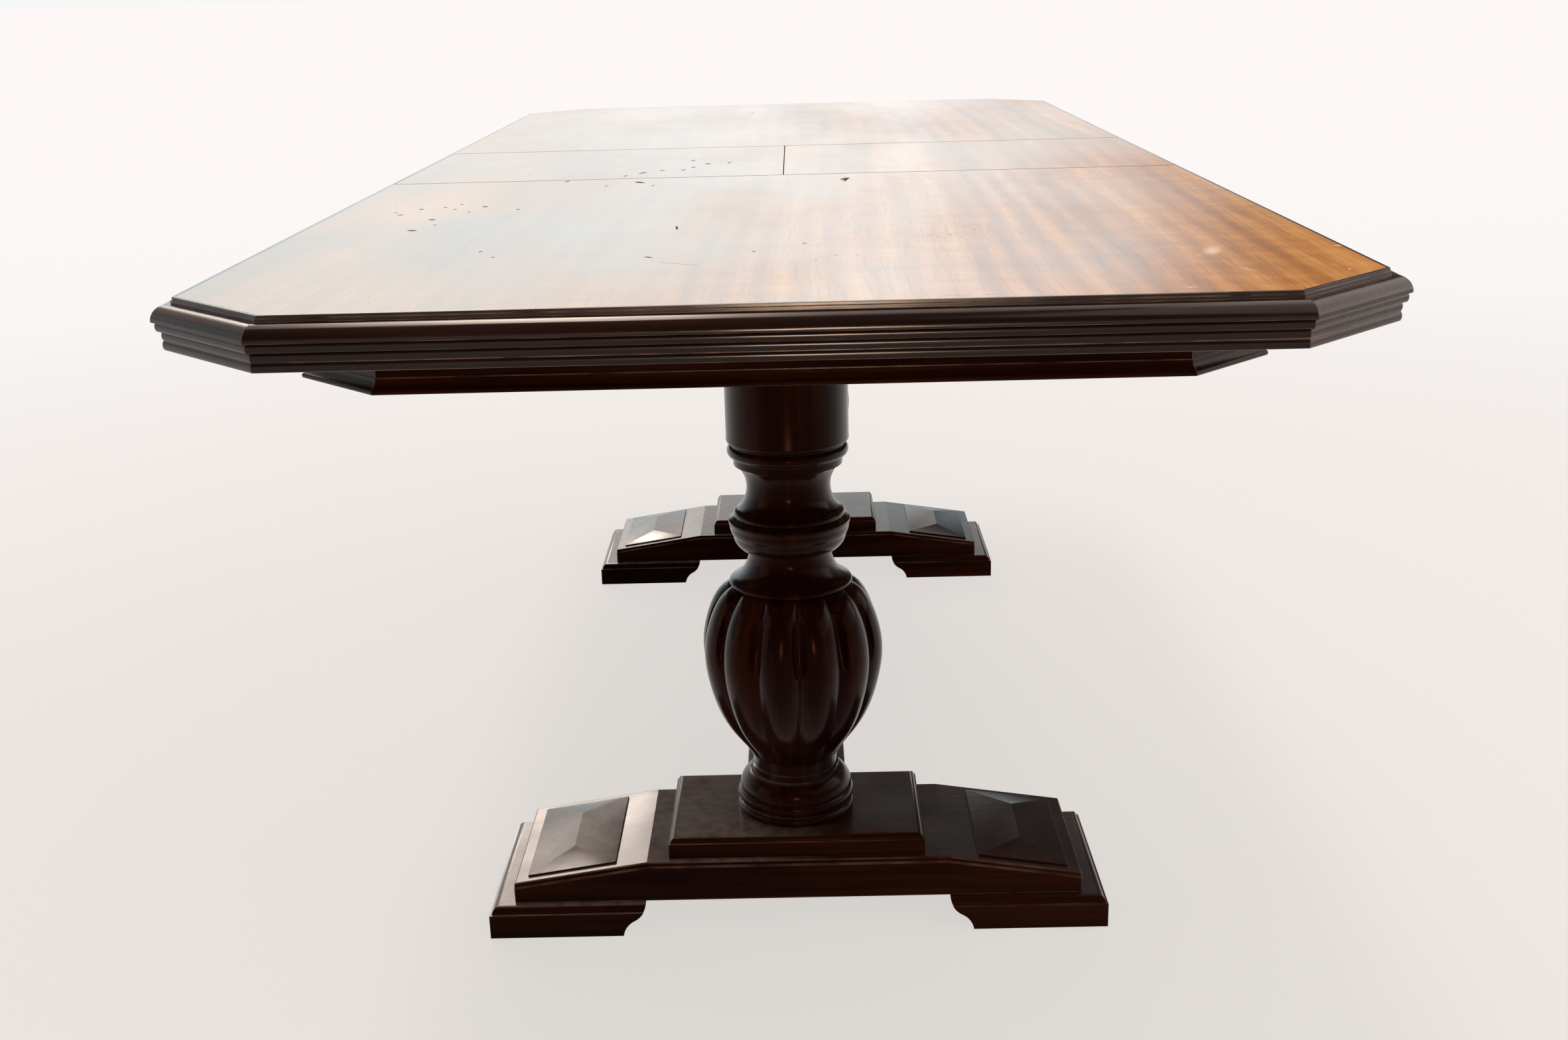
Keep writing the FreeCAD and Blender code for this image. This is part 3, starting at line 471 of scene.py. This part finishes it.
# Screws and bolts: zinc-plated steel, a dull blue-grey with a fine stain.
# Hinge barrels: drawn brass, tarnished to brown in spots.
zinc = {"clean": "#b9bcbd", "dull": "#7d7f80", "roughness": 0.34, "spotSize": 0.004}
brass = {"clean": "#c59a4a", "dull": "#7c5a28", "roughness": 0.30, "spotSize": 0.006}
metalSpots = {
    "noise": {"Detail": 3.0, "Roughness": 0.6},
    "cleanAt": 0.40, "dullAt": 0.66,
    "range": {"From Min": 0.35, "From Max": 0.7},
    "roughens": 0.22,
}


def spottedMetal(name, metal):
    material, tree = newMaterial(name)
    position = addNode(tree, "ShaderNodeTexCoord").outputs["Object"]
    spots = addNode(tree, "ShaderNodeTexNoise", {
        "Vector": position, "Scale": 0.5 / metal["spotSize"], **metalSpots["noise"]}).outputs["Fac"]
    colour = setRamp(addNode(tree, "ShaderNodeValToRGB", {"Fac": spots}), [
        (metalSpots["cleanAt"], metal["clean"]), (metalSpots["dullAt"], metal["dull"])])
    roughness = addNode(tree, "ShaderNodeMapRange", {
        "Value": spots, **metalSpots["range"],
        "To Min": metal["roughness"], "To Max": metal["roughness"] + metalSpots["roughens"]}).outputs[0]
    shader = addNode(tree, "ShaderNodeBsdfPrincipled", {
        "Base Color": colour, "Metallic": 1.0, "Roughness": roughness})
    closeMaterial(tree, shader)
    return material


veneers = {node: sapeleVeneer(board) for node, board in boards.items()}
stainAlongX = stainedWood("stainedBeechAcross", alongX, "moulded")
stainAlongY = stainedWood("stainedBeechAlong", alongY, "moulded")
apronAlongX = stainedWood("stainedBeechApronAcross", alongX, "apron")
apronAlongY = stainedWood("stainedBeechApronAlong", alongY, "apron")
apronCantRight = stainedWood("stainedBeechApronRightCant", alongCantRight, "apron")
apronCantLeft = stainedWood("stainedBeechApronLeftCant", alongCantLeft, "apron")
stainTurned = stainedWood("stainedBeechTurned", alongZ, "turned")
stainCantRight = stainedWood("stainedBeechRightCant", alongCantRight, "moulded")
stainCantLeft = stainedWood("stainedBeechLeftCant", alongCantLeft, "moulded")
stainFoot = stainedWood("stainedBeechFoot", alongX, "foot")
# eased edges: rubbed stain and painted highlight lines
rubbedHighlightEdge = stainedWood("stainedBeechRubbedEdge", alongY, "moulded", rubbed=True)
rubbedHighlightFootEdge = stainedWood("stainedBeechRubbedFootEdge", alongX, "foot", rubbed=True)
beechAlongX = waxedBeech("waxedBeechAcross", alongX)
beechAlongY = waxedBeech("waxedBeechAlong", alongY)
zincSteel = spottedMetal("zincPlatedSteel", zinc)
drawnBrass = spottedMetal("drawnBrass", brass)
print("materials made:", len(bpy.data.materials))


# Pieces

meshing = {
    "mergeWithin": 0.00001,
    "flatAngle": 1.0,                # degrees; triangles of one flat face are joined again
    "bevelSegments": 2,
    "bevelAbove": 28,                # degrees; flatter folds than this aren't eased
    "edgeSlot": 1,                   # the eased edges take the piece's second material
    "smoothAngle": 35,               # degrees; flatter folds than this are shaded as one surface
    "creaseAngle": 2.5,              # except those above this between two faces above the next area
    "creaseArea": 0.0002,
}


def selectOnly(piece):
    bpy.ops.object.select_all(action="DESELECT")
    piece.select_set(True)
    bpy.context.view_layer.objects.active = piece


def copyOfNode(node, name, joinFlats=True):
    # the node's solid as one closed mesh
    piece = bpy.data.objects.new(name, nodes[node].data.copy())
    bpy.context.scene.collection.objects.link(piece)
    piece.data.materials.clear()
    selectOnly(piece)
    bpy.ops.mesh.customdata_custom_splitnormals_clear()
    bpy.ops.object.mode_set(mode="EDIT")
    bpy.ops.mesh.select_all(action="SELECT")
    bpy.ops.mesh.remove_doubles(threshold=meshing["mergeWithin"])
    if joinFlats:
        bpy.ops.mesh.dissolve_limited(angle_limit=radians(meshing["flatAngle"]))
    bpy.ops.mesh.select_all(action="DESELECT")
    bpy.ops.object.mode_set(mode="OBJECT")
    return piece


def easeEdges(piece, width):
    selectOnly(piece)
    bpy.ops.object.modifier_add(type="BEVEL")
    bevel = piece.modifiers[-1]
    bevel.width = width
    bevel.segments = meshing["bevelSegments"]
    bevel.limit_method = "ANGLE"
    bevel.angle_limit = radians(meshing["bevelAbove"])
    bevel.material = meshing["edgeSlot"]
    bevel.use_clamp_overlap = True
    bpy.ops.object.modifier_apply(modifier=bevel.name)


def keepLowCreases(piece):
    # a fold of a few degrees between two large faces stays crisp
    beside = {}
    for face in piece.data.polygons:
        for key in face.edge_keys:
            beside.setdefault(key, []).append(face)
    for edge in piece.data.edges:
        faces = beside.get(edge.key, [])
        if len(faces) == 2 and min(faces[0].area, faces[1].area) > meshing["creaseArea"]:
            if faces[0].normal.angle(faces[1].normal) > radians(meshing["creaseAngle"]):
                edge.use_edge_sharp = True


def finishPiece(
        piece, node, smoothAngle=meshing["smoothAngle"], flatFaces=True, lowCreases=False):
    selectOnly(piece)
    bpy.ops.object.shade_smooth_by_angle(angle=radians(smoothAngle))
    if lowCreases:
        keepLowCreases(piece)
    if flatFaces:    # keeps the large faces flat beside their eased edges
        bpy.ops.object.modifier_add(type="WEIGHTED_NORMAL")
        weighted = piece.modifiers[-1]
        weighted.keep_sharp = True
        bpy.ops.object.modifier_apply(modifier=weighted.name)
    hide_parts(node)
    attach(piece, nodes[node]["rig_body"])
    piece.select_set(False)


def woodenPiece(node, ending, material, easing, edge=None, lowCreases=False):
    piece = copyOfNode(node, node + ending)
    piece.data.materials.append(material)
    piece.data.materials.append(edge or material)
    easeEdges(piece, easing)
    finishPiece(piece, node, lowCreases=lowCreases)


top = {"easing": 0.0007}
for node, material in veneers.items():
    woodenPiece(node, "_veneered", material, top["easing"])
print("veneered tops done")

edging = {"easing": 0.0005}
for node, material in (
        ("front_end_edging", stainAlongX), ("front_right_side_edging", stainAlongY),
        ("front_left_side_edging", stainAlongY), ("front_right_cant_edging", stainCantRight),
        ("front_left_cant_edging", stainCantLeft), ("back_end_edging", stainAlongX),
        ("back_right_side_edging", stainAlongY), ("back_left_side_edging", stainAlongY),
        ("back_right_cant_edging", stainCantLeft), ("back_left_cant_edging", stainCantRight),
        ("right_leaf_edging", stainAlongY), ("left_leaf_edging", stainAlongY)):
    woodenPiece(node, "_moulded", material, edging["easing"], rubbedHighlightEdge)
print("moulded edging done")

apron = {"easing": 0.0008}
for node, material in (
        ("front_end_rail", apronAlongX), ("back_end_rail", apronAlongX),
        ("right_side_rail", apronAlongY), ("left_side_rail", apronAlongY),
        ("front_right_corner_rail", apronCantRight), ("front_left_corner_rail", apronCantLeft),
        ("back_right_corner_rail", apronCantLeft), ("back_left_corner_rail", apronCantRight)):
    woodenPiece(node, "_stained", material, apron["easing"], rubbedHighlightEdge)
print("apron done")

underframe = {"easing": 0.0015, "panelEasing": 0.0008}
for end in ("front", "back"):
    for part, material, easing, edge in (
            ("plinth_block", stainFoot, "easing", rubbedHighlightFootEdge),
            ("foot_beam", stainFoot, "easing", rubbedHighlightFootEdge),
            ("left_foot_pad", stainFoot, "easing", rubbedHighlightFootEdge),
            ("right_foot_pad", stainFoot, "easing", rubbedHighlightFootEdge),
            ("left_foot_panel", stainFoot, "panelEasing", stainFoot),
            ("right_foot_panel", stainFoot, "panelEasing", stainFoot),
            ("bearer", apronAlongX, "easing", rubbedHighlightEdge)):
        woodenPiece(
            end + "_" + part, "_stained", material, underframe[easing], edge,
            lowCreases=True)
woodenPiece("stretcher", "_stained", apronAlongY, underframe["easing"], rubbedHighlightEdge)
print("feet and stretcher done")

# The carver opened each groove at its upper end with a gouge, which leaves a leaf-shaped hollow
# between two lobes.
column = {
    "axisY": 0.590,
    "turn": 5.0,                             # degrees that the lobes stand round from the square
    "grooves": 12,
    "hollowOut": 0.0935,                     # from the column's axis
    "hollowHeight": 0.318,
    "hollowHalf": (0.0125, 0.0080, 0.050),   # in and out, across, along
    "hollowLean": 13.0,
    "gougeSegments": 20,
    "gougeRings": 14,
    "smoothAngle": 40,
}


def carveHollows(piece, middleY):
    # one gouge mark for each groove, and all cut out at once
    bpy.ops.object.select_all(action="DESELECT")
    marks = []
    for index in range(column["grooves"]):
        around = radians(index * 360 / column["grooves"])
        bpy.ops.mesh.primitive_uv_sphere_add(
            segments=column["gougeSegments"], ring_count=column["gougeRings"], radius=1.0,
            location=(0, 0, 0))
        mark = bpy.context.object
        mark.scale = column["hollowHalf"]
        mark.rotation_euler = (0, -radians(column["hollowLean"]), around)
        mark.location = (
            math.cos(around) * column["hollowOut"], middleY + math.sin(around) * column["hollowOut"],
            column["hollowHeight"])
        marks.append(mark)
    for mark in marks:
        mark.select_set(True)
    bpy.context.view_layer.objects.active = marks[0]
    bpy.ops.object.join()
    gouges = bpy.context.object
    selectOnly(piece)
    bpy.ops.object.modifier_add(type="BOOLEAN")
    cut = piece.modifiers[-1]
    cut.operation = "DIFFERENCE"
    cut.solver = "EXACT"
    cut.object = gouges
    bpy.ops.object.modifier_apply(modifier=cut.name)
    selectOnly(gouges)
    bpy.ops.object.delete()


for end, middleY in (("front", -column["axisY"]), ("back", column["axisY"])):
    node = end + "_column"
    piece = copyOfNode(node, node + "_turned", joinFlats=False)
    piece.data.materials.append(stainTurned)
    carveHollows(piece, middleY)
    selectOnly(piece)
    bpy.ops.object.mode_set(mode="EDIT")
    bpy.ops.mesh.select_all(action="SELECT")
    bpy.ops.transform.rotate(
        value=-radians(column["turn"]), orient_axis="Z", center_override=(0, middleY, 0))
    bpy.ops.mesh.select_all(action="DESELECT")
    bpy.ops.object.mode_set(mode="OBJECT")
    finishPiece(piece, node, smoothAngle=column["smoothAngle"], flatFaces=False)
print("columns carved")

# the plain pieces inside stay as they come and only get their finish
for node, item in nodes.items():
    if item.hide_render:
        continue
    if "barrels" in node:
        material = drawnBrass
    elif "screws" in node or "bolts" in node:
        material = zincSteel
    elif "cross_rail" in node:
        material = beechAlongX
    else:
        material = beechAlongY
    item.data.materials.clear()
    item.data.materials.append(material)
print("plain pieces finished")


# Floor, light and camera

stageSetting = {
    "floorColours": [(0.0, "#f2eeea"), (0.22, "#f9f5f2"), (1.0, "#fdf8f6")],    # near, middle and far
    "fadeAlong": {"From Min": -1.2, "From Max": 8.0},
    "fadeOutwards": {"From Min": 3.5, "From Max": 12.0},
    "matt": (0.5, 0.5, 0.5),         # what the lamps light is darker, so it throws little light up
    # how much of the pale floor is there without lamps; from the second distance on it is all
    "glow": {"From Min": 0.8, "From Max": 4.0, "To Min": 0.72, "To Max": 1.0},
    "floorSize": 400.0,
}
floorMaterial, tree = newMaterial("paleStudioFloor")
position = addNode(tree, "ShaderNodeTexCoord").outputs["Object"]
fade = addNode(tree, "ShaderNodeSeparateXYZ", {0: position}).outputs["Y"]
fade = addNode(tree, "ShaderNodeMapRange", {"Value": fade, **stageSetting["fadeAlong"]}).outputs[0]
outwards = addNode(tree, "ShaderNodeVectorMath", {0: position}, operation="LENGTH").outputs["Value"]
distant = addNode(tree, "ShaderNodeMapRange", {
    "Value": outwards, **stageSetting["fadeOutwards"]}).outputs[0]
fade = addNode(tree, "ShaderNodeMath", {0: fade, 1: distant}, operation="MAXIMUM").outputs[0]
floorColour = setRamp(addNode(tree, "ShaderNodeValToRGB", {"Fac": fade}), stageSetting["floorColours"])
matt = addNode(tree, "ShaderNodeVectorMath", {
    0: floorColour, 1: stageSetting["matt"]}, operation="MULTIPLY").outputs[0]
lit = addNode(tree, "ShaderNodeBsdfDiffuse", {"Color": matt})
glow = addNode(tree, "ShaderNodeEmission", {"Color": floorColour, "Strength": 1.0})
# the glow is there for the eye and in reflections, and it lights nothing
ray = addNode(tree, "ShaderNodeLightPath").outputs
seen = ray["Is Camera Ray"]
for kind in ("Is Glossy Ray", "Is Transmission Ray"):
    seen = addNode(tree, "ShaderNodeMath", {0: seen, 1: ray[kind]}, operation="MAXIMUM").outputs[0]
glowShare = addNode(tree, "ShaderNodeMapRange", {"Value": outwards, **stageSetting["glow"]}).outputs[0]
share = addNode(tree, "ShaderNodeMath", {0: seen, 1: glowShare}, operation="MULTIPLY").outputs[0]
floorShader = addNode(tree, "ShaderNodeMixShader", {0: share, 1: lit.outputs[0], 2: glow.outputs[0]})
closeMaterial(tree, floorShader)

bpy.ops.object.select_all(action="DESELECT")
bpy.ops.mesh.primitive_plane_add(size=stageSetting["floorSize"], location=(0, 0, 0))
floor = bpy.context.object
floor.name = "studio_floor"
floor.data.materials.append(floorMaterial)

# The world is a dim room with a pale floor line and four sources of light. Each is a list of places
# with the share of light there: "up" by the sine of elevation, "across" by the bearing from the far
# end in degrees, to the right, and "tint" by the sine of elevation.
roomLight = [(-0.2, 0.93), (0.025, 0.93), (0.045, 0.06), (0.35, 0.07), (0.85, 0.25)]
warmWhite = [(-1.0, "#fff0e4"), (1.0, "#fff0e4")]
openings = {
    "walls": {      # pale walls behind the camera and to the right
        "strength": 1.0,
        "up": [(-0.2, 1.0), (0.06, 1.0), (0.13, 0.50), (0.30, 0.14), (0.60, 0.10), (0.85, 0.25)],
        "across": [(-180, 1.0), (-135, 1.0), (-115, 0.0), (26, 0.0), (35, 1.0), (180, 1.0)],
        "tint": [(-1.0, "#fdf8f6"), (1.0, "#fdf8f6")],
    },
    "window": {     # long, beyond the far end and to its left: the pale veil on the lacquer, which
        "strength": 1.82,           # fades out to the right
        "up": [
            (0.00, 0.0), (0.03, 0.80), (0.08, 0.79), (0.13, 0.92), (0.155, 0.94), (0.175, 1.05),
            (0.21, 1.03), (0.30, 0.72), (0.45, 0.35), (0.56, 0.0)],
        "across": [
            (-120, 0.0), (-75, 0.45), (-40, 0.78), (-14, 0.87), (-5, 0.99), (0, 1.04), (3.6, 1.06),
            (4.5, 0.93), (7.2, 0.84), (10.5, 0.66), (12, 0.44), (14, 0.15), (16, 0.02), (20, 0.0)],
        "tint": [   # coolest in the middle of the window
            (-1.0, "#fbf1ea"), (0.07, "#f4f2f0"), (0.12, "#cfeefa"), (0.18, "#c6efff"),
            (0.24, "#e4e8e8"), (0.32, "#f6e6da"), (1.0, "#f6e6da")],
    },
    "sky": {        # open sky above the window, brighter and narrower: it whitens the left foot
        "strength": 17.0,
        "up": [(0.31, 0.0), (0.38, 1.0), (0.46, 0.8), (0.60, 0.5), (0.66, 0.0)],
        "across": [
            (-120, 0.0), (-95, 0.03), (-40, 0.06), (-28, 0.40), (-20, 0.70), (-17, 1.0), (-12, 1.0),
            (-8, 0.3), (-3, 0.08), (10, 0.0)],
        "tint": warmWhite,
    },
    "gap": {        # a strip of sky, straight back and overhead: the bright line along the edging.
        "strength": 19.0,           # "up" goes by Y here, and "across" by X
        "up": [(0.08, 0.0), (0.16, 1.0), (0.66, 1.0), (0.76, 0.0)],
        "across": [
            (-0.30, 0.0), (-0.25, 0.3), (-0.21, 0.7), (-0.18, 1.0), (-0.11, 1.0), (-0.07, 0.7),
            (-0.03, 0.2), (0.0, 0.09), (0.26, 0.09), (0.30, 0.0)],
        "tint": warmWhite,
    },
}
world = bpy.data.worlds.new("softRoom")
bpy.context.scene.world = world
world.use_nodes = True
tree = world.node_tree
tree.nodes.clear()
direction = addNode(tree, "ShaderNodeTexCoord").outputs["Generated"]
toward = addNode(tree, "ShaderNodeSeparateXYZ", {0: direction}).outputs
bearing = addNode(tree, "ShaderNodeMath", {
    0: toward["X"], 1: toward["Y"]}, operation="ARCTAN2").outputs[0]


def lightAlong(value, stops, unit=1.0):
    # the share of light at each place of a list, whose places run over the value's own range
    first, last = stops[0][0] * unit, stops[-1][0] * unit
    place = addNode(tree, "ShaderNodeMapRange", {
        "Value": value, "From Min": first, "From Max": last}).outputs[0]
    return setRamp(addNode(tree, "ShaderNodeValToRGB", {"Fac": place}), [
        ((stop * unit - first) / (last - first), share) for stop, share in stops])


light = lightAlong(toward["Z"], roomLight)
for name, opening in openings.items():
    if name == "gap":
        across = lightAlong(toward["X"], opening["across"])
        up = lightAlong(toward["Y"], opening["up"])
    else:
        across = lightAlong(bearing, opening["across"], radians(1))
        up = lightAlong(toward["Z"], opening["up"])
    tint = lightAlong(toward["Z"], opening["tint"])
    pane = addNode(tree, "ShaderNodeVectorMath", {0: across, 1: up}, operation="MULTIPLY").outputs[0]
    pane = addNode(tree, "ShaderNodeVectorMath", {0: pane, 1: tint}, operation="MULTIPLY").outputs[0]
    pane = addNode(tree, "ShaderNodeVectorMath", {
        0: pane, "Scale": opening["strength"]}, operation="SCALE").outputs[0]
    light = addNode(tree, "ShaderNodeVectorMath", {0: light, 1: pane}, operation="MAXIMUM").outputs[0]
background = addNode(tree, "ShaderNodeBackground", {"Color": light, "Strength": 1.0})
addNode(tree, "ShaderNodeOutputWorld", {"Surface": background.outputs[0]})

lamps = {
    "cornerSoftbox": {      # glare on the near right corner
        "at": (1.25, -1.0, 1.55), "aim": (0.35, -0.8, 0.76), "size": (2.9, 2.0), "power": 28,
        "colour": "#fff6ec"},
    "ceilingSoftbox": {
        "at": (0.4, 0.2, 3.4), "aim": (0.1, 0.0, 0.7), "size": (0.9, 0.9), "power": 1.5,
        "colour": "#fff8f0"},
    "leftFill": {
        "at": (-3.4, -1.8, 1.5), "aim": (0.0, 0.0, 0.3), "size": (2.0, 2.0), "power": 16,
        "colour": "#ffe6d2"},
    "lowBehind": {          # behind the camera: sharp lights on the beads of the column
        "at": (0.08, -4.2, 0.80), "aim": (0.08, 0.0, 0.60), "size": (0.34, 0.50), "power": 25,
        "colour": "#ffe6cc"},
}
for name, lamp in lamps.items():
    softbox = bpy.data.lights.new(name, "AREA")
    softbox.shape = "RECTANGLE"
    softbox.size, softbox.size_y = lamp["size"]
    softbox.energy = lamp["power"]
    softbox.color = linearColour(lamp["colour"])[:3]
    holder = bpy.data.objects.new(name, softbox)
    bpy.context.scene.collection.objects.link(holder)
    holder.location = lamp["at"]
    toTable = Vector(lamp["aim"]) - Vector(lamp["at"])
    holder.rotation_euler = toTable.to_track_quat("-Z", "Y").to_euler()

# the photograph's own viewpoint: seated height, close to the near end, a slight roll
viewpoint = {
    "at": (0.0159, -2.4051, 0.9886), "turn": (73.0465, 1.4305, 0.2458), "lens": 40.65, "sensor": 36.0}
cameraData = bpy.data.cameras.new("photographCamera")
cameraData.lens = viewpoint["lens"]
cameraData.sensor_width = viewpoint["sensor"]
camera = bpy.data.objects.new("photographCamera", cameraData)
bpy.context.scene.collection.objects.link(camera)
camera.location = viewpoint["at"]
camera.rotation_euler = [radians(a) for a in viewpoint["turn"]]
bpy.context.scene.camera = camera
bpy.context.scene.view_settings.view_transform = "Standard"
print("floor, light and camera done")
